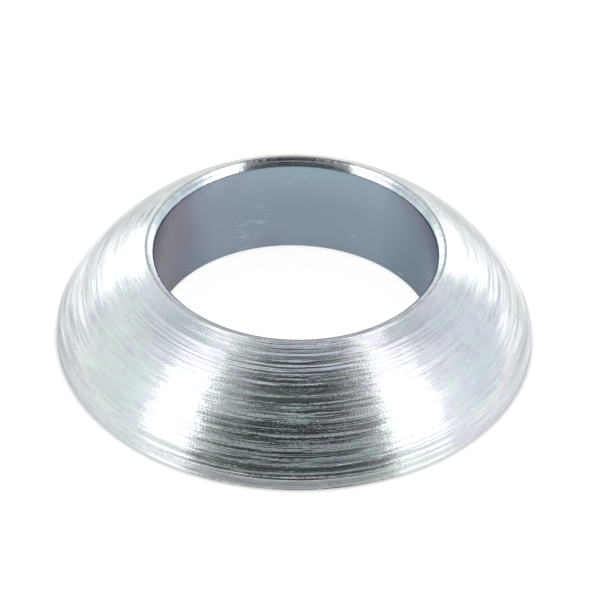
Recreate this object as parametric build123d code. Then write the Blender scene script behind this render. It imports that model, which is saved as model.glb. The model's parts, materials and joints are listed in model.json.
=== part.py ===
from build123d import *
import os

# Convex seat washer: a solid ring turned from steel bar in one piece.
# Its base is flat, its outer flank is a crowned cone that beds into a conical recess,
# and a plain clearance bore runs through it, with a rounded mouth at the narrow end.
# Millimetres, +Z up. The origin is the centre of the base, on the axis of the bore.

# Driving dimensions
outer_diameter = 32.5
bore_diameter = 19.0
height = 7.4
base_land_height = 0.85  # straight band round the outside, above the base
crown_radius = 15.0  # radius of the flank's convex curve, seen in section
top_land_width = 0.18  # flat ring left at the narrow end
mouth_width = 0.52  # rounded mouth between the top land and the bore, seen from above
mouth_depth = 0.43
mouth_radius = 0.6  # radius of the mouth's convex curve, seen in section
outer_edge_break = 0.05  # corner taken off the base's outside edge
bore_edge_break = 0.05  # corner taken off the bore's lower edge

# Sizes that follow from them
outer_radius = outer_diameter / 2
bore_radius = bore_diameter / 2
mouth_outer_radius = bore_radius + mouth_width
top_land_radius = mouth_outer_radius + top_land_width


def lathe_profile():
    """Half section of the ring on the XZ plane, with every edge as the tool leaves it."""
    base_inner = (bore_radius + bore_edge_break, 0)
    base_outer = (outer_radius - outer_edge_break, 0)
    land_bottom = (outer_radius, outer_edge_break)
    land_top = (outer_radius, base_land_height)
    seat_top = (top_land_radius, height)
    mouth_top = (mouth_outer_radius, height)
    bore_top = (bore_radius, height - mouth_depth)
    bore_bottom = (bore_radius, bore_edge_break)
    with BuildSketch(Plane.XZ) as section:
        with BuildLine():
            Polyline(base_inner, base_outer, land_bottom, land_top)
            RadiusArc(land_top, seat_top, -crown_radius)
            Line(seat_top, mouth_top)
            RadiusArc(mouth_top, bore_top, -mouth_radius)
            Polyline(bore_top, bore_bottom, base_inner)
        make_face()
    return section.sketch


def seat_washer():
    """The half section turned once round the bore's axis."""
    with BuildPart() as ring:
        revolve(lathe_profile(), axis=Axis.Z)
    return ring.part


os.makedirs("parts", exist_ok=True)
export_step(seat_washer(), "parts/seat_washer.step")
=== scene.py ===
import json
import math

import bpy
import numpy as np
from mathutils import Matrix, Vector


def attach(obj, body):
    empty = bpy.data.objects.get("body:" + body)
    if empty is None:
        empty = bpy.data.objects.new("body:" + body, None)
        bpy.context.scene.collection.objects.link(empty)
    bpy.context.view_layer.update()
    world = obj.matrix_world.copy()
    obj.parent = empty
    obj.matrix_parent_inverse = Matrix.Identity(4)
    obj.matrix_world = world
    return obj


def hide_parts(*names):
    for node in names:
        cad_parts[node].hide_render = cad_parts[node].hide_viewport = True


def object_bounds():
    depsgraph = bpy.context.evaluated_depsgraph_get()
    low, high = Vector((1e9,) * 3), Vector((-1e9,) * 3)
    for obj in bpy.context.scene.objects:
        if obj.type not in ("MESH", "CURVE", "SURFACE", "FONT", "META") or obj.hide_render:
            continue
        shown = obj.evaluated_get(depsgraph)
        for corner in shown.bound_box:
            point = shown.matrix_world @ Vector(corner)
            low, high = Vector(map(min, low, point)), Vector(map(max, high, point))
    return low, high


# Looks of the seat washer: a steel ring turned on a lathe and bright zinc plated.
# Metres, +Z up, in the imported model's frame: the ring stands on z = 0, its bore on the Z axis.

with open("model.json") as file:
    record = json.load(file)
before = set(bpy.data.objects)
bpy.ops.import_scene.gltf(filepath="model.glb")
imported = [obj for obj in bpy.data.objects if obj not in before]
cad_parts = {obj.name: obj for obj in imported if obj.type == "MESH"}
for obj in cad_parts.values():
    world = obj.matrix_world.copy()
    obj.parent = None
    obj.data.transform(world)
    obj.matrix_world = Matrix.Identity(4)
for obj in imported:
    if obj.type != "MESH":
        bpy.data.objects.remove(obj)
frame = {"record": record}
cad_low, cad_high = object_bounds()

MM = 0.001

# The ring, as in the solid model
OUTER_RADIUS = (cad_high.x - cad_low.x) / 2
HEIGHT = cad_high.z
BORE_RADIUS = next(m for m in frame["record"]["mounts"] if m["name"] == "bore")["dims"]["r_mm"] * MM
BASE_LAND_HEIGHT = 0.85 * MM
CROWN_RADIUS = 15.0 * MM
TOP_LAND_WIDTH = 0.18 * MM
MOUTH_WIDTH = 0.52 * MM  # rounded mouth between the top land and the bore
MOUTH_DEPTH = 0.43 * MM
MOUTH_RADIUS = 0.6 * MM
OUTER_EDGE_BREAK = 0.05 * MM
BORE_EDGE_BREAK = 0.05 * MM
PLATED_EDGE = 0.02 * MM  # reach of the rounding that plating leaves on an edge
EDGE_INSET = 0.22  # how far the middle of that rounding lies in from the corner, as a share of it

FLANK_RUN = OUTER_RADIUS - BORE_RADIUS - MOUTH_WIDTH - TOP_LAND_WIDTH
FLANK_RISE = HEIGHT - BASE_LAND_HEIGHT
FLANK_CHORD = math.hypot(FLANK_RUN, FLANK_RISE)

# Mesh density
TURN_STEPS = 256
BASE_ROWS = 18
LAND_ROWS = 40
FLANK_ROWS = 280
TOP_ROWS = 3
MOUTH_ROWS = 10
BORE_ROWS = 12

# Tool marks on the flank: a spiral of turned bands, each cut at its own slope, and grooves over it.
# A band reads as light, grey or dark from the front by the elevation, in degrees, that it faces.
SEED = 7
LIGHT = (19.0, 30.5, 41.0, 54.5)
GREY = (27.4, 33.5, 38.2, 43.6, 49.2, 60.8)
DARK = (25.0, 36.0, 47.0, 63.0)
BANDS = (  # upper edge in mm along the flank from the base land, and the elevations to choose from
    (0.20, DARK),
    (0.35, GREY),
    (0.48, LIGHT),
    (0.63, DARK),
    (0.72, GREY),
    (0.95, DARK),
    (1.10, LIGHT),
    (1.26, GREY),
    (1.36, LIGHT),
    (1.70, GREY),
    (2.12, GREY),
    (2.25, LIGHT),
    (2.45, GREY),
    (2.78, DARK),
    (2.98, LIGHT),
    (3.34, DARK),
    (3.49, LIGHT),
    (3.76, DARK),
    (3.90, LIGHT),
    (4.43, GREY),
    (4.64, DARK),
    (4.77, LIGHT),
    (4.88, DARK),
    (5.01, LIGHT),
    (5.35, DARK),
    (5.55, LIGHT),
    (5.75, GREY),
    (6.15, DARK),
    (6.29, LIGHT),
    (6.44, DARK),
    (6.84, GREY),
    (6.92, LIGHT),
    (7.08, DARK),
    (7.27, LIGHT),
    (7.39, DARK),
    (7.50, LIGHT),
    (7.78, GREY),
    (7.96, DARK),
    (8.15, GREY),
    (8.29, LIGHT),
    (8.42, DARK),
    (8.79, GREY),
    (9.06, LIGHT),
)
BAND_MARGIN = 0.3  # mm, width of the two spare bands past each end of the flank
BAND_CURVE = 0.007  # depth of a band's scallop, as a share of its width
BAND_WOBBLE = math.radians(0.7)  # change of slope round the ring
LEVEL_REACH = 4.0 * MM  # length over which the bands' slopes even out
GROOVES = 46
GROOVE_WIDTH = (0.035 * MM, 0.060 * MM)
GROOVE_DEPTH = (0.001 * MM, 0.005 * MM)
GROOVE_WANDER = 0.01 * MM
LIP_PLACE = 1.7  # distance of a groove's raised lip from its centre, in widths of the groove
LIP_HEIGHT = 0.45  # height of the lip, as a share of the groove's depth
CHATTER = 0.0005 * MM  # fine unevenness from row to row
HIGHEST_MARK = 0.04 * MM  # most that a mark on the flank stands out from the plain arc
MARK_FADE = 0.12 * MM  # length over which the marks fade out at each end of the flank
LAND_GROOVE = 0.041 * MM  # depth of the fine lathe thread on the base land, before it varies
LAND_GROOVE_ROWS = 5
HIGHEST_LAND_MARK = 0.003 * MM

# Fine finish, made by the materials
STREAK = 0.009 * MM  # height of the fine streaks between the tool marks
LEAN = math.sin(math.radians(1.6))  # how far a streak's surface may face sideways
# At the two sides, heavier turned lines are painted lighter and darker in the colour, as painted
# reflections.
PAINTED_LINES_SPAN = (0.93, 0.985)  # share of the ring's half width over which the heavier lines set in
PAINTED_LINES_END = (12.3, 14.0)  # mm along the outline from the base's inner edge; the flank starts at 7.5

# Studio
VIEW_ELEVATION = math.radians(38.98)
VIEW_DIRECTION = (0.0, -math.cos(VIEW_ELEVATION), math.sin(VIEW_ELEVATION))
CAMERA_ROLL = math.radians(1.28)
CAMERA_DISTANCE = 221.4 * MM
CAMERA_LENS = 193.4  # mm, on a sensor 36 mm wide
CAMERA_OFFSET = (0.35 * MM, 2.13 * MM)  # right and up from the line to the origin
STEEL_GREY = (0.93, 1.06, 1.06)  # tints of the striped card in front of the ring, from its foot up
SKY_GREY = (0.94, 1.03, 1.10)
DUSK_GREY = (1.08, 0.92, 1.25)
FLOOR_GLOW = 0.92  # what the floor adds of its own where it is seen, so that it reads as white
# The floor's glow is lowered next to the ring's edges as a painted contact shadow.
CONTACT_SHADOW_REACH = 0.12 * MM  # how far from the ring's edges the floor stays dark
FLOOR_SPAN = 4 * OUTER_RADIUS  # breadth of the floor that the ring mirrors
FLOOR_HALF = 3.0  # metres from the middle of the floor to its edge


# ---------------------------------------------------------------- shape


def arc_points(start, end, radius, rows):
    """Points on the convex arc of this radius between two (r, z) points, both ends left out."""
    start, end = np.array(start), np.array(end)
    chord = end - start
    length = np.hypot(*chord)
    outward = np.array([chord[1], -chord[0]]) / length
    centre = (start + end) / 2 - outward * math.sqrt(radius**2 - length**2 / 4)
    first = math.atan2(*(start - centre)[::-1])
    last = math.atan2(*(end - centre)[::-1])
    angles = np.linspace(first, last, rows + 2)[1:-1]
    return centre + radius * np.stack([np.cos(angles), np.sin(angles)], 1)


def line_points(start, end, rows):
    """Evenly spaced points between two (r, z) points, both ends left out."""
    share = np.linspace(0, 1, rows + 2)[1:-1, None]
    return np.array(start) * (1 - share) + np.array(end) * share


def rounded(before, corner, after):
    """Three points that round a corner as plating does."""
    before, corner, after = map(np.array, (before, corner, after))
    back = (before - corner) / np.hypot(*(before - corner))
    ahead = (after - corner) / np.hypot(*(after - corner))
    middle = corner + (back + ahead) * PLATED_EDGE * EDGE_INSET
    return [corner + back * PLATED_EDGE, middle, corner + ahead * PLATED_EDGE]


def profile():
    """The half section as a closed list of (r, z), and the rows of its named faces."""
    mouth = (BORE_RADIUS + MOUTH_WIDTH, HEIGHT)
    faces = [
        ("base", (BORE_RADIUS + BORE_EDGE_BREAK, 0), BASE_ROWS, None),
        ("edge", (OUTER_RADIUS - OUTER_EDGE_BREAK, 0), 0, None),
        ("land", (OUTER_RADIUS, OUTER_EDGE_BREAK), LAND_ROWS, None),
        ("flank", (OUTER_RADIUS, BASE_LAND_HEIGHT), FLANK_ROWS, CROWN_RADIUS),
        ("top", (mouth[0] + TOP_LAND_WIDTH, HEIGHT), TOP_ROWS, None),
        ("mouth", mouth, MOUTH_ROWS, MOUTH_RADIUS),
        ("bore", (BORE_RADIUS, HEIGHT - MOUTH_DEPTH), BORE_ROWS, None),
        ("bore edge", (BORE_RADIUS, BORE_EDGE_BREAK), 0, None),
    ]
    runs = []
    for i, (_, start, rows, radius) in enumerate(faces):
        end = faces[(i + 1) % len(faces)][1]
        runs.append(arc_points(start, end, radius, rows) if radius else line_points(start, end, rows))

    points, spans = [], {}
    for i, (name, corner, rows, _) in enumerate(faces):
        before = runs[i - 1][-1] if len(runs[i - 1]) else faces[i - 1][1]
        after = runs[i][0] if rows else faces[(i + 1) % len(faces)][1]
        points += rounded(before, corner, after)
        spans[name] = slice(len(points), len(points) + rows)
        points += list(runs[i])
    return np.array(points), spans


def outward_normals(section):
    """Unit normals of a closed (r, z) outline that runs round its solid with the solid on the left."""
    along = np.roll(section, -1, 0) - np.roll(section, 1, 0)
    normals = np.stack([along[:, 1], -along[:, 0]], 1)
    return normals / np.linalg.norm(normals, axis=1, keepdims=True)


def path_length(section):
    """Distance along the outline from its first point to each of its points."""
    steps = np.linalg.norm(np.diff(section, axis=0), axis=1)
    return np.concatenate([[0], np.cumsum(steps)])


def ring_wave(rng, turn, harmonics, falloff=1.0):
    """A random smooth function of the turn, which meets itself after a full turn."""
    wave = np.zeros_like(turn)
    for k in range(1, harmonics + 1):
        wave += rng.normal() * np.cos(k * turn + rng.uniform(0, 2 * math.pi)) / k**falloff
    return wave


def flank_elevation(distance):
    """Elevation, in degrees, that the plain flank faces at this distance from the base land."""
    first = math.degrees(math.atan2(FLANK_RUN, FLANK_RISE) - math.asin(FLANK_CHORD / 2 / CROWN_RADIUS))
    return first + math.degrees(distance / CROWN_RADIUS)


def band_slopes():
    """Edges of the bands along the flank, and how much more upward than the flank each band faces."""
    inner = [0.0] + [end for end, _ in BANDS]
    before = [-2 * BAND_MARGIN, -BAND_MARGIN]
    after = [inner[-1] + BAND_MARGIN, inner[-1] + 2 * BAND_MARGIN]
    edges = np.array(before + inner + after) * MM
    lean = np.zeros(len(edges))
    for band, (_, choice) in enumerate(BANDS, len(before)):
        level = flank_elevation((edges[band] + edges[band + 1]) / 2)
        nearest = min(choice, key=lambda elevation: abs(elevation - level))
        lean[band] = math.radians(nearest - level)
    return edges, lean


def evened(values, rows):
    """The running mean over this many rows, with the ends carried on."""
    before, after = rows // 2, rows - rows // 2 - 1
    padded = np.concatenate([values[:1].repeat(before, 0), values, values[-1:].repeat(after, 0)])
    total = np.cumsum(np.concatenate([np.zeros_like(padded[:1]), padded]), 0)
    return (total[rows:] - total[:-rows]) / rows


def turned_bands(rng, path, turn):
    """Relief and tone of the spiral of bands, which climbs by one band in a turn."""
    edges, lean = band_slopes()
    tones = rng.random(len(edges))
    wobbles = np.stack([ring_wave(rng, turn, 24, 0.5) for _ in edges])
    wobbles *= BAND_WOBBLE / wobbles.std()
    wander = GROOVE_WANDER * ring_wave(rng, turn, 4)

    slope = np.zeros((len(path), len(turn)))
    tone = np.zeros_like(slope)
    for step, angle in enumerate(turn):
        share = angle / (2 * math.pi)

        def along_spiral(values):
            return values[:-1] * (1 - share) + values[1:] * share

        starts = along_spiral(edges)
        place = path + wander[step]
        index = np.searchsorted(starts, place, side="right") - 1
        across = 2 * (place - starts[index]) / (starts[index + 1] - starts[index]) - 1
        slope[:, step] = 4 * BAND_CURVE * across - np.tan(along_spiral(lean + wobbles[:, step]))[index]
        tone[:, step] = along_spiral(tones)[index]
    spacing = path[1] - path[0]
    relief = np.cumsum(slope, 0) * spacing
    return relief - evened(relief, int(LEVEL_REACH / spacing)), tone


def single_grooves(rng, path, turn):
    """Grooves with a raised lip, most of them fading in and out round the ring."""
    path, turn = path[:, None], turn[None, :]
    relief = np.zeros((path.shape[0], turn.shape[1]))
    for _ in range(GROOVES):
        centre = rng.uniform(0.01, 0.99) * path[-1] + GROOVE_WANDER * ring_wave(rng, turn, 2, 1.5)
        width = rng.uniform(*GROOVE_WIDTH)
        depth = GROOVE_DEPTH[0] + (GROOVE_DEPTH[1] - GROOVE_DEPTH[0]) * rng.random()
        presence = np.clip(0.55 + 0.7 * ring_wave(rng, turn, 24, 0.5), 0, 1)
        across = (path - centre) / width
        lip = np.exp(-((across - LIP_PLACE) ** 2))
        relief -= depth * presence * (np.exp(-(across**2)) - LIP_HEIGHT * lip)
    return relief


def chatter(rng, rows, turn, height):
    """Fine unevenness: every row has its own slow wave round the ring."""
    base = rng.normal(0, 1, (rows, 1))
    waves = np.concatenate([ring_wave(rng, turn[None, :], 8, 0.5) for _ in range(rows)])
    return height * (base + 0.6 * waves)


def fade_at_ends(path, length, reach):
    """0 at both ends of the flank, rising to 1 within reach."""
    return np.clip(np.minimum(path, length - path) / reach, 0, 1)


def tool_marks(path, turn, spans):
    """Height of the turned surface over its plain outline, and the tone of each band."""
    rng = np.random.default_rng(SEED)
    relief = np.zeros((len(path), TURN_STEPS))
    tone = np.full_like(relief, 0.5)

    flank = spans["flank"]
    on_flank = path[flank] - path[flank.start]
    marks, tone[flank] = turned_bands(rng, on_flank, turn)
    marks += single_grooves(rng, on_flank, turn)
    marks += chatter(rng, FLANK_ROWS, turn, CHATTER)
    marks = np.minimum(marks, HIGHEST_MARK)
    relief[flank] = marks * fade_at_ends(on_flank, on_flank[-1], MARK_FADE)[:, None]

    land = spans["land"]
    groove, row = np.divmod(np.arange(LAND_ROWS), LAND_GROOVE_ROWS)
    depths = LAND_GROOVE * rng.uniform(0.7, 1.2, groove[-1] + 1)[groove]
    relief[land] = (-depths * row / (LAND_GROOVE_ROWS - 1))[:, None]
    relief[land] += chatter(rng, LAND_ROWS, turn, CHATTER)
    relief[land] = np.minimum(relief[land], HIGHEST_LAND_MARK)
    return relief, tone


def build_ring():
    """The ring as one closed mesh, with its lathe coordinates and its tone kept as attributes."""
    section, spans = profile()
    normals = outward_normals(section)
    path = path_length(section)
    turn = np.linspace(0, 2 * math.pi, TURN_STEPS, endpoint=False)
    relief, tone = tool_marks(path, turn, spans)

    radius = section[:, :1] + relief * normals[:, :1]
    height = section[:, 1:] + relief * normals[:, 1:]
    points = np.stack(
        [radius * np.sin(turn), -radius * np.cos(turn), np.broadcast_to(height, radius.shape)], -1
    )

    rows = len(section)
    row = np.arange(rows)[:, None]
    step = np.arange(TURN_STEPS)[None, :]
    next_row, next_step = (row + 1) % rows, (step + 1) % TURN_STEPS
    corners = [(row, step), (row, next_step), (next_row, next_step), (next_row, step)]
    faces = np.stack([np.broadcast_to(r * TURN_STEPS + s, (rows, TURN_STEPS)) for r, s in corners], -1)

    mesh = bpy.data.meshes.new("washer_ring")
    mesh.from_pydata(points.reshape(-1, 3), [], faces.reshape(-1, 4).tolist())
    mesh.shade_smooth()

    around = np.broadcast_to(turn, (rows, TURN_STEPS))
    along = np.broadcast_to(path[:, None] / MM, (rows, TURN_STEPS))
    lathe = np.stack([np.cos(around), np.sin(around), along], -1)
    attribute = mesh.attributes.new("lathe", "FLOAT_VECTOR", "POINT")
    attribute.data.foreach_set("vector", lathe.astype(np.float32).ravel())
    attribute = mesh.attributes.new("tone", "FLOAT", "POINT")
    attribute.data.foreach_set("value", tone.astype(np.float32).ravel())

    ring = bpy.data.objects.new("washer_ring", mesh)
    bpy.context.scene.collection.objects.link(ring)
    return ring, section, spans


# ---------------------------------------------------------------- materials


class Tree:
    """Short calls for adding nodes to a node tree and joining them."""

    def __init__(self, owner):
        owner.use_nodes = True
        self.nodes = owner.node_tree.nodes
        self.links = owner.node_tree.links
        self.nodes.clear()

    def add(self, kind, **settings):
        node = self.nodes.new(kind)
        for name, value in settings.items():
            setattr(node, name, value)
        return node

    def feed(self, socket, value):
        """Sets the socket to a number or a tuple, or links it to another node's output."""
        if isinstance(value, bpy.types.NodeSocket):
            self.links.new(value, socket)
        else:
            socket.default_value = value

    def math(self, operation, a, b=0.0, clamp=False):
        node = self.add("ShaderNodeMath", operation=operation, use_clamp=clamp)
        for socket, value in zip(node.inputs, (a, b)):
            self.feed(socket, value)
        return node.outputs[0]

    def vector(self, operation, a, b=(0.0, 0.0, 0.0)):
        node = self.add("ShaderNodeVectorMath", operation=operation)
        self.feed(node.inputs[0], a)
        self.feed(node.inputs[1], b)
        return node.outputs[0]

    def parts(self, vector):
        """The vector's X, Y and Z."""
        node = self.add("ShaderNodeSeparateXYZ")
        self.links.new(vector, node.inputs[0])
        return node.outputs

    def place(self):
        """Where the surface is, in the object's own coordinates."""
        return self.add("ShaderNodeTexCoord").outputs["Object"]

    def attribute(self, name, output):
        """What the mesh keeps under this name."""
        return self.add("ShaderNodeAttribute", attribute_name=name).outputs[output]

    def mix(self, factor, a, b, blend="MIX"):
        node = self.add("ShaderNodeMix", data_type="RGBA", blend_type=blend)
        self.feed(node.inputs["Factor"], factor)
        self.feed(node.inputs[6], a)
        self.feed(node.inputs[7], b)
        return node.outputs[2]

    def times(self, a, b):
        """The product of two colours."""
        return self.mix(1.0, a, b, "MULTIPLY")

    def noise(self, vector, scale, detail=2.0, roughness=0.5):
        node = self.add("ShaderNodeTexNoise")
        self.feed(node.inputs["Vector"], vector)
        self.feed(node.inputs["Scale"], scale)
        self.feed(node.inputs["Detail"], detail)
        self.feed(node.inputs["Roughness"], roughness)
        return node.outputs["Fac"]

    def remap(self, value, low, high, new_low=0.0, new_high=1.0):
        node = self.add("ShaderNodeMapRange")
        for socket, number in zip(node.inputs, (value, low, high, new_low, new_high)):
            self.feed(socket, number)
        return node.outputs[0]

    def ramp(self, factor, stops):
        """A colour for each place along the factor. A stop is a place and a colour or one grey."""
        node = self.add("ShaderNodeValToRGB")
        ramp = node.color_ramp
        for place, _ in stops[2:]:
            ramp.elements.new(place)
        for element, (place, colour) in zip(ramp.elements, stops):
            red, green, blue = colour if isinstance(colour, tuple) else (colour, colour, colour)
            element.position = place
            element.color = (red, green, blue, 1)
        self.feed(node.inputs[0], factor)
        return node.outputs[0]

    def bump(self, height, distance, normal=None):
        node = self.add("ShaderNodeBump")
        self.feed(node.inputs["Height"], height)
        self.feed(node.inputs["Distance"], distance)
        if normal is not None:
            self.links.new(normal, node.inputs["Normal"])
        return node.outputs["Normal"]

    def surface(self, **values):
        """The finished surface. Each name is a socket of the Principled shader, with _ for a space."""
        shader = self.add("ShaderNodeBsdfPrincipled")
        for name, value in values.items():
            self.feed(shader.inputs[name.replace("_", " ")], value)
        output = self.add("ShaderNodeOutputMaterial")
        self.links.new(shader.outputs[0], output.inputs["Surface"])


def lathe_coordinates(tree, around, along):
    """Coordinates for noise, which takes this many steps per radian round the ring and per mm along."""
    return tree.vector("MULTIPLY", tree.attribute("lathe", "Vector"), (around, around, along))


def at_the_sides(tree):
    """1 low on the two sides of the ring, where a few heavier turned lines are painted lighter and darker
    as painted reflections, and 0 elsewhere.
    """
    _, sideways, along = tree.parts(tree.attribute("lathe", "Vector"))
    side = tree.remap(tree.math("ABSOLUTE", sideways), *PAINTED_LINES_SPAN)
    return tree.math("MULTIPLY", side, tree.remap(along, *PAINTED_LINES_END, 1.0, 0.25))


def turned_colour(tree, dashes, tone):
    """Bright zinc: faintly clouded and mottled, duller in some dashes, with heavier turned lines at the
    two sides painted lighter and darker as painted reflections.
    """
    place = tree.place()
    tint = tree.ramp(
        tree.noise(place, 110.0, 2.0),
        [
            (0.30, (0.66, 0.70, 0.70)),
            (0.48, (0.69, 0.725, 0.745)),
            (0.62, (0.71, 0.72, 0.76)),
            (0.75, (0.70, 0.75, 0.74)),
        ],
    )
    clean = tree.remap(dashes, 0.36, 0.48, 0.93, 1.0)
    clean = tree.math("MULTIPLY", clean, tree.remap(tone, 0.0, 1.0, 0.95, 1.04))
    colour = tree.times(tint, tree.mix(clean, (0, 0, 0, 1), (1, 1, 1, 1)))
    mottle = tree.ramp(
        tree.noise(place, 900.0, 2.0),
        [(0.32, (0.95, 0.92, 0.97)), (0.5, 1.0), (0.68, (0.95, 1.0, 0.96))],
    )
    colour = tree.times(colour, mottle)
    # Painted reflections: heavier lines at the two sides, painted darker and lighter than the zinc.
    side_lines_painted_sheen = tree.ramp(
        tree.noise(lathe_coordinates(tree, 2.4, 3.4), 1.0, 1.0, 0.5),
        [(0.39, (0.77, 0.78, 0.80)), (0.44, 1.0), (0.54, 1.0), (0.58, (1.26, 1.24, 1.24))],
    )
    return tree.mix(at_the_sides(tree), colour, tree.times(colour, side_lines_painted_sheen))


def turned_zinc():
    """The flank: bright zinc over lathe-turned steel, with fine streaks round the ring."""
    material = bpy.data.materials.new("turned_zinc")
    tree = Tree(material)
    lines = tree.noise(lathe_coordinates(tree, 2.2, 4.6), 1.0, 0.5, 0.5)
    dashes = tree.noise(lathe_coordinates(tree, 9.0, 6.5), 1.0, 0.0, 0.5)
    grain = tree.noise(lathe_coordinates(tree, 85.0, 7.0), 1.0, 1.0, 0.5)
    tone = tree.attribute("tone", "Fac")

    rough = tree.remap(lines, 0.56, 0.66, 0.0, 0.04)
    rough = tree.math("ADD", rough, tree.remap(tone, 0.0, 1.0, 0.05, 0.09))
    rough = tree.math("ADD", rough, tree.remap(grain, 0.50, 0.75, 0.0, 0.04))

    normal = tree.bump(lines, STREAK)
    normal = tree.bump(dashes, 0.60 * STREAK, normal)
    normal = tree.bump(grain, 0.70 * STREAK, normal)
    tangent = tree.add("ShaderNodeTangent", direction_type="RADIAL", axis="Z").outputs[0]
    lean = tree.noise(lathe_coordinates(tree, 9.0, 9.0), 1.0, 2.0, 0.5)
    sideways = tree.add("ShaderNodeVectorMath", operation="SCALE")
    tree.feed(sideways.inputs[0], tangent)
    tree.feed(sideways.inputs["Scale"], tree.remap(lean, 0.3, 0.7, -LEAN, LEAN))
    normal = tree.vector("NORMALIZE", tree.vector("ADD", normal, sideways.outputs[0]))

    tree.surface(
        Base_Color=turned_colour(tree, dashes, tone),
        Metallic=1.0,
        Roughness=rough,
        Anisotropic=0.8,
        Anisotropic_Rotation=0.25,
        Normal=normal,
        Tangent=tangent,
    )
    return material


def rounded_zinc():
    """The top edge and the mouth: a plain coat over a rounding, with a painted dark reflection at the
    back and painted highlights on either side of it.
    """
    material = bpy.data.materials.new("rounded_zinc")
    tree = Tree(material)
    place = tree.place()
    speckle = tree.noise(place, 3000.0, 2.0)
    tint = tree.ramp(
        tree.noise(place, 900.0, 2.0),
        [
            (0.35, (0.68, 0.67, 0.72)),
            (0.50, (0.65, 0.69, 0.72)),
            (0.65, (0.66, 0.71, 0.69)),
        ],
    )
    smears = tree.ramp(
        tree.noise(lathe_coordinates(tree, 14.0, 0.9), 1.0, 3.0, 0.6),
        [(0.38, (0.84, 0.86, 0.87)), (0.58, 1.02)],
    )
    frontward = tree.parts(tree.attribute("lathe", "Vector"))["X"]
    # Painted reflections round the back of the mouth: a dark spot straight at the back and bright
    # highlights on either side of it.
    painted_highlight_and_dark_spot = tree.ramp(
        tree.remap(frontward, -1.0, 1.0),
        [
            (0.032, 0.52),
            (0.043, (1.36, 1.34, 1.30)),
            (0.110, (1.36, 1.34, 1.30)),
            (0.135, (0.96, 0.98, 1.00)),
        ],
    )
    tree.surface(
        Base_Color=tree.times(tree.times(tint, smears), painted_highlight_and_dark_spot),
        Metallic=1.0,
        Roughness=tree.remap(speckle, 0.4, 0.7, 0.10, 0.18),
        Normal=tree.bump(speckle, 0.012 * MM),
    )
    return material


def bored_colour(tree, streaks):
    """Bluish zinc, darkened by painted shade of the hole all over and more towards the base, lighter near
    the top, with painted shade and reflections at the two sides, and lightly scratched in patches.
    """
    place = tree.place()
    x, _, z = tree.parts(place)
    # The bore's tint is kept dark as painted shade of the hole, over a bluish zinc.
    tint = tree.ramp(
        tree.noise(place, 130.0, 2.0),
        [
            (0.26, (0.40, 0.37, 0.42)),
            (0.38, (0.36, 0.39, 0.47)),
            (0.5, (0.38, 0.445, 0.54)),
            (0.7, (0.36, 0.46, 0.52)),
        ],
    )
    streaked = tree.times(tint, (0.93, 0.94, 0.95, 1))
    tint = tree.mix(tree.remap(streaks, 0.35, 0.65), streaked, tint)
    # Painted shade: darker towards the base of the bore, lighter near its top.
    depth = tree.ramp(
        tree.math("DIVIDE", z, HEIGHT),
        [(0.0, 0.76), (0.5, (0.91, 0.92, 0.92)), (0.95, (1.20, 1.23, 1.22))],
    )
    # Painted shade and reflections at the bore's two sides: reddish dark at the left, bluish dark at the
    # right.
    painted_side_shade = tree.ramp(
        tree.remap(x, -BORE_RADIUS, BORE_RADIUS),
        [
            (0.0, (0.74, 0.56, 0.56)),
            (0.05, (0.79, 0.67, 0.65)),
            (0.1, (0.78, 0.72, 0.75)),
            (0.2, 1.0),
            (0.8, (0.98, 1.0, 1.0)),
            (0.88, (0.78, 0.83, 0.85)),
            (0.93, (0.66, 0.73, 0.79)),
            (1.0, (0.56, 0.63, 0.70)),
        ],
    )
    tint = tree.times(tree.times(tint, depth), painted_side_shade)
    marks = tree.remap(tree.noise(lathe_coordinates(tree, 9.0, 9.0), 1.0, 1.0, 0.5), 0.60, 0.68)
    marks = tree.math("MULTIPLY", marks, tree.remap(tree.noise(place, 260.0, 0.0), 0.58, 0.66))
    return tree.mix(tree.math("MULTIPLY", marks, 0.28), tint, (0.80, 0.84, 0.86, 1))


def bored_zinc():
    """The bore's wall: duller zinc, its colour darkened by painted shade of the hole."""
    material = bpy.data.materials.new("bored_zinc")
    tree = Tree(material)
    streaks = tree.noise(lathe_coordinates(tree, 2.0, 8.0), 1.0, 3.0, 0.6)
    tree.surface(
        Base_Color=bored_colour(tree, streaks),
        Metallic=1.0,
        Roughness=tree.remap(streaks, 0.3, 0.7, 0.30, 0.40),
        Normal=tree.bump(streaks, 0.002 * MM),
    )
    return material


# ---------------------------------------------------------------- studio


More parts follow.
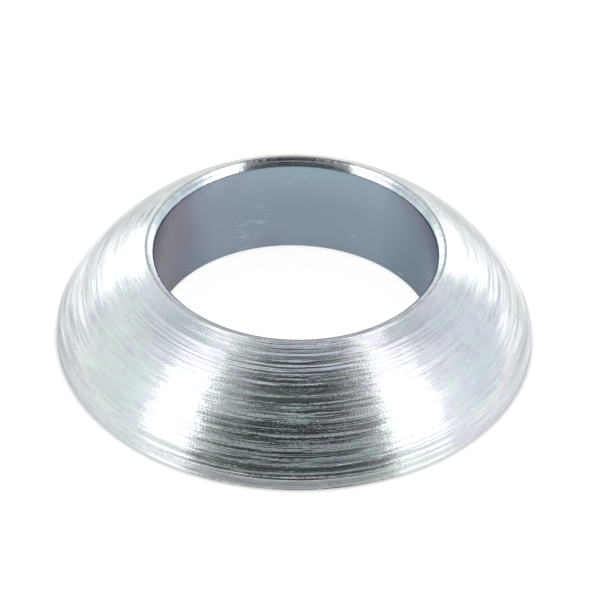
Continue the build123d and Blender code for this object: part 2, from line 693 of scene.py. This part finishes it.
def studio_world():
    """White to the camera. The ring mirrors a room that is dark in front, with soft lights round it.

    The room is laid out by the facet that mirrors it towards the viewing direction:
    facing is the azimuth that such a facet faces, and tilt is its elevation.
    """
    world = bpy.data.worlds.new("studio")
    bpy.context.scene.world = world
    tree = Tree(world)
    direction = tree.add("ShaderNodeTexCoord").outputs["Generated"]
    facet = tree.vector("NORMALIZE", tree.vector("ADD", direction, VIEW_DIRECTION))
    x, y, z = tree.parts(facet)
    facing = tree.math("ARCTAN2", x, tree.math("MULTIPLY", y, -1.0))
    facing = tree.remap(facing, -math.pi, math.pi)
    tilt = tree.remap(tree.math("ARCSINE", z), 0.0, math.pi / 2)

    def at_facing(degrees, colour):
        return (degrees + 180) / 360, colour

    def at_tilt(degrees, value, tint):
        return degrees / 90, tuple(value * channel for channel in tint)

    walls = tree.ramp(
        facing,
        [
            at_facing(-180, (0.52, 0.50, 0.61)),
            at_facing(-150, (0.70, 0.72, 0.78)),
            at_facing(-118, (0.96, 0.98, 1.00)),
            at_facing(-106, (0.78, 0.80, 0.82)),
            at_facing(-97, (0.94, 0.96, 0.99)),
            at_facing(-92, 1.75),
            at_facing(-82, 1.50),
            at_facing(-75, (0.94, 0.96, 0.98)),
            at_facing(-62, (0.99, 1.04, 1.02)),
            at_facing(-50, (0.94, 1.00, 0.99)),
            at_facing(-41, (1.10, 1.15, 1.15)),
            at_facing(-37, 1.80),
            at_facing(-24, 1.80),
            at_facing(27, 1.80),
            at_facing(39, 1.80),
            at_facing(43, (1.15, 1.18, 1.20)),
            at_facing(58, (0.86, 0.92, 0.98)),
            at_facing(78, (0.93, 0.97, 1.00)),
            at_facing(90, 1.75),
            at_facing(106, 1.75),
            at_facing(116, (1.06, 1.08, 1.11)),
            at_facing(150, (0.78, 0.80, 0.86)),
            at_facing(180, (0.52, 0.50, 0.61)),
        ],
    )
    ceiling = tree.ramp(
        facing,
        [
            at_facing(-180, (0.48, 0.46, 0.56)),
            at_facing(-140, (0.54, 0.56, 0.61)),
            at_facing(-115, (0.64, 0.67, 0.70)),
            at_facing(-106, (0.72, 0.74, 0.76)),
            at_facing(-99, 1.80),
            at_facing(-80, 1.80),
            at_facing(-70, (0.98, 1.01, 1.03)),
            at_facing(-60, (0.84, 0.89, 0.90)),
            at_facing(-46, (0.65, 0.71, 0.73)),
            at_facing(-35, (0.72, 0.77, 0.80)),
            at_facing(-30, 1.08),
            at_facing(-22, 1.10),
            at_facing(23, 1.26),
            at_facing(31, 1.26),
            at_facing(37, (0.76, 0.80, 0.83)),
            at_facing(48, (0.64, 0.68, 0.72)),
            at_facing(60, (0.84, 0.88, 0.93)),
            at_facing(74, (0.92, 0.94, 0.96)),
            at_facing(85, 1.80),
            at_facing(106, 1.80),
            at_facing(117, (0.68, 0.71, 0.77)),
            at_facing(150, (0.48, 0.48, 0.54)),
            at_facing(180, (0.48, 0.46, 0.56)),
        ],
    )
    front = tree.ramp(
        tilt,
        [
            at_tilt(15, 0.50, STEEL_GREY),
            at_tilt(19, 0.45, STEEL_GREY),
            at_tilt(22.5, 0.07, STEEL_GREY),
            at_tilt(26.5, 0.055, STEEL_GREY),
            at_tilt(29.4, 0.44, STEEL_GREY),
            at_tilt(31.2, 0.44, STEEL_GREY),
            at_tilt(33.2, 0.06, STEEL_GREY),
            at_tilt(34.5, 0.03, STEEL_GREY),
            at_tilt(37.5, 0.025, STEEL_GREY),
            at_tilt(39.3, 0.515, STEEL_GREY),
            at_tilt(41.6, 0.515, STEEL_GREY),
            at_tilt(43.2, 0.07, STEEL_GREY),
            at_tilt(44.5, 0.05, STEEL_GREY),
            at_tilt(48, 0.05, STEEL_GREY),
            at_tilt(49.5, 0.12, STEEL_GREY),
            at_tilt(52.5, 0.56, SKY_GREY),
            at_tilt(53.5, 0.72, SKY_GREY),
            at_tilt(56.5, 0.72, SKY_GREY),
            at_tilt(61.5, 0.20, SKY_GREY),
            at_tilt(66, 0.06, DUSK_GREY),
            at_tilt(84, 0.06, DUSK_GREY),
        ],
    )
    low_shade = tree.ramp(
        facing,
        [
            at_facing(-27, 0.0),
            at_facing(-23, 0.70),
            at_facing(-18, 0.92),
            at_facing(-11, 1.0),
            at_facing(11, 1.0),
            at_facing(18, 0.94),
            at_facing(23, 0.75),
            at_facing(28, 0.0),
        ],
    )
    high_shade = tree.ramp(
        facing,
        [
            at_facing(-24, 0.0),
            at_facing(-20, 0.50),
            at_facing(-15, 0.67),
            at_facing(-8, 0.94),
            at_facing(7, 1.0),
            at_facing(15, 0.88),
            at_facing(21, 0.55),
            at_facing(26, 0.0),
        ],
    )
    shade = tree.mix(tree.remap(tilt, 38 / 90, 56 / 90), low_shade, high_shade)
    top = tree.ramp(
        facing,
        [
            at_facing(-180, (0.46, 0.42, 0.54)),
            at_facing(-150, (0.70, 0.70, 0.72)),
            at_facing(-130, (0.84, 0.87, 0.88)),
            at_facing(-112, (1.00, 1.02, 1.03)),
            at_facing(-101, 1.60),
            at_facing(-82, 1.60),
            at_facing(-72, (0.94, 0.96, 0.96)),
            at_facing(-58, (0.84, 0.88, 0.90)),
            at_facing(-46, (0.84, 0.88, 0.92)),
            at_facing(-40, (1.00, 1.03, 1.06)),
            at_facing(-36, 2.40),
            at_facing(-22, 2.40),
            at_facing(22, 2.40),
            at_facing(36, 2.40),
            at_facing(40, (1.00, 1.03, 1.06)),
            at_facing(46, (0.84, 0.88, 0.92)),
            at_facing(58, (0.84, 0.88, 0.90)),
            at_facing(72, (0.94, 0.96, 0.96)),
            at_facing(82, 1.60),
            at_facing(101, 1.60),
            at_facing(112, (1.00, 1.02, 1.03)),
            at_facing(130, (0.84, 0.87, 0.88)),
            at_facing(150, (0.70, 0.70, 0.72)),
            at_facing(180, (0.46, 0.42, 0.54)),
        ],
    )
    sides = tree.mix(tree.remap(tilt, 43 / 90, 56 / 90), walls, ceiling)
    sides = tree.mix(tree.remap(tilt, 62 / 90, 67 / 90), sides, top)
    sides = tree.mix(tree.remap(tilt, 23 / 90, 29 / 90, 0.2, 0.0), sides, (0, 0, 0, 1))
    dimmed = tree.mix(1.0, sides, (0.96, 0.99, 0.99, 1), "DARKEN")
    sides = tree.mix(tree.remap(tilt, 24 / 90, 28 / 90), dimmed, sides)
    seen = tree.mix(shade, sides, front)
    seen = tree.mix(tree.remap(tilt, 83 / 90, 88 / 90), seen, (0.64, 0.63, 0.60, 1))

    path = tree.add("ShaderNodeLightPath")
    light = tree.add("ShaderNodeBackground")
    tree.links.new(seen, light.inputs["Color"])
    backdrop = tree.add("ShaderNodeBackground")
    backdrop.inputs["Color"].default_value = (1, 1, 1, 1)
    choose = tree.add("ShaderNodeMixShader")
    tree.links.new(path.outputs["Is Camera Ray"], choose.inputs[0])
    tree.links.new(light.outputs[0], choose.inputs[1])
    tree.links.new(backdrop.outputs[0], choose.inputs[2])
    output = tree.add("ShaderNodeOutputWorld")
    tree.links.new(choose.outputs[0], output.inputs["Surface"])


def floor_material():
    """Pale floor: takes shadows and reads as white where it is seen, with a painted contact shadow in its
    glow along the ring's edges.

    The ring mirrors it as lighter and darker in places: stripes at the sides, and painted shade just
    outside its foot, under the hole and behind it.
    """
    material = bpy.data.materials.new("studio_floor")
    tree = Tree(material)
    path = tree.add("ShaderNodeLightPath")
    place = tree.place()
    x, y, _ = tree.parts(place)
    reach = tree.add("ShaderNodeVectorMath", operation="LENGTH")
    tree.links.new(place, reach.inputs[0])

    def at_reach(distance, value):
        return distance / FLOOR_SPAN, value

    def at_side(distance, value):
        return 0.5 + distance * MM / FLOOR_SPAN, value

    distance = tree.math("DIVIDE", reach.outputs["Value"], FLOOR_SPAN)
    # Painted contact shadow: the floor's glow is lowered next to the ring's outer and bore edges, seen
    # directly and in the ring.
    painted_contact_shadow = tree.ramp(
        distance,
        [
            at_reach(BORE_RADIUS - CONTACT_SHADOW_REACH, 1.0),
            at_reach(BORE_RADIUS, 0.6),
            at_reach(OUTER_RADIUS, 0.6),
            at_reach(OUTER_RADIUS + CONTACT_SHADOW_REACH, 1.0),
        ],
    )
    # Painted shade as mirrored: the floor's glow is a little lower just outside the ring's foot.
    painted_foot_shade = tree.ramp(
        distance,
        [
            at_reach(OUTER_RADIUS + 0.3 * MM, 0.86),
            at_reach(OUTER_RADIUS + 1.2 * MM, 1.0),
        ],
    )
    across = tree.ramp(
        tree.remap(x, -FLOOR_SPAN / 2, FLOOR_SPAN / 2),
        [
            at_side(-31, 1.09),
            at_side(-27, 0.72),
            at_side(-24.5, 1.09),
            at_side(-22, 0.70),
            at_side(-20, 1.09),
            at_side(-17.5, 0.74),
            at_side(-16, 0.90),
            at_side(-13, 1.0),
            at_side(17.5, 1.0),
            at_side(19.5, 0.78),
            at_side(21.5, 1.09),
            at_side(23, 0.98),
            at_side(27, 1.09),
        ],
    )
    # Painted shade as mirrored: the floor's glow is lower under the hole and behind the ring, except at
    # the back corners.
    painted_shade_behind = tree.ramp(
        tree.remap(y, -FLOOR_SPAN / 2, FLOOR_SPAN / 2),
        [
            at_side(-6, 1.0),
            at_side(-2, 0.88),
            at_side(5, 0.88),
            at_side(7, 1.0),
            at_side(12, 1.0),
            at_side(15, 0.86),
            at_side(18, 0.76),
            at_side(23, 0.72),
            at_side(30, 0.78),
        ],
    )
    aside = tree.remap(tree.math("ABSOLUTE", x), 19 * MM, 25 * MM, 0.0, 0.9)
    corner = tree.math("MULTIPLY", aside, tree.remap(y, 6 * MM, 10 * MM))
    back = tree.mix(corner, painted_shade_behind, (1, 1, 1, 1))
    mirrored = tree.math("MULTIPLY", painted_foot_shade, tree.math("MULTIPLY", across, back))
    mirrored = tree.math("MULTIPLY", mirrored, path.outputs["Is Glossy Ray"])
    seen = tree.math("ADD", path.outputs["Is Camera Ray"], mirrored)
    seen = tree.math("MAXIMUM", seen, path.outputs["Is Transmission Ray"])
    glow = tree.math("MULTIPLY", tree.math("MULTIPLY", painted_contact_shadow, FLOOR_GLOW), seen, clamp=True)
    tree.surface(
        Base_Color=(0.18, 0.18, 0.18, 1),
        Roughness=0.9,
        Specular_IOR_Level=0.0,
        Emission_Color=(1, 1, 1, 1),
        Emission_Strength=glow,
    )
    return material


def studio_floor():
    """A wide plane that the ring stands on."""
    mesh = bpy.data.meshes.new("floor")
    corners = [(x * FLOOR_HALF, y * FLOOR_HALF, 0) for x, y in ((-1, -1), (1, -1), (1, 1), (-1, 1))]
    mesh.from_pydata(corners, [], [(0, 1, 2, 3)])
    mesh.materials.append(floor_material())
    floor = bpy.data.objects.new("floor", mesh)
    bpy.context.scene.collection.objects.link(floor)


def studio_camera():
    """A long lens that looks down on the ring from the front, turned a little about its own axis."""
    back = Vector(VIEW_DIRECTION)
    right = Vector((1, 0, 0))
    up = back.cross(right)
    place = back * CAMERA_DISTANCE + right * CAMERA_OFFSET[0] + up * CAMERA_OFFSET[1]
    camera = bpy.data.objects.new("camera", bpy.data.cameras.new("camera"))
    bpy.context.scene.collection.objects.link(camera)
    camera.data.sensor_width = 36
    camera.data.lens = CAMERA_LENS
    camera.data.clip_start = 0.01
    camera.data.clip_end = 20
    facing = Matrix((right, up, back)).transposed().to_4x4()
    camera.matrix_world = Matrix.Translation(place) @ facing @ Matrix.Rotation(CAMERA_ROLL, 4, "Z")
    bpy.context.scene.camera = camera


# ---------------------------------------------------------------- scene


ring, section, spans = build_ring()
for material in (turned_zinc(), bored_zinc(), rounded_zinc()):
    ring.data.materials.append(material)
TURNED, BORED, ROUNDED = range(3)
material_rows = np.full(len(section), TURNED, np.int32)
material_rows[spans["top"].start : spans["mouth"].stop] = ROUNDED
material_rows[spans["mouth"].stop - 1 : spans["bore edge"].stop] = BORED
ring.data.polygons.foreach_set("material_index", np.repeat(material_rows, TURN_STEPS))

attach(ring, "root")
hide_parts("seat_washer")

studio_floor()
studio_world()
studio_camera()
bpy.context.scene.view_settings.view_transform = "Standard"
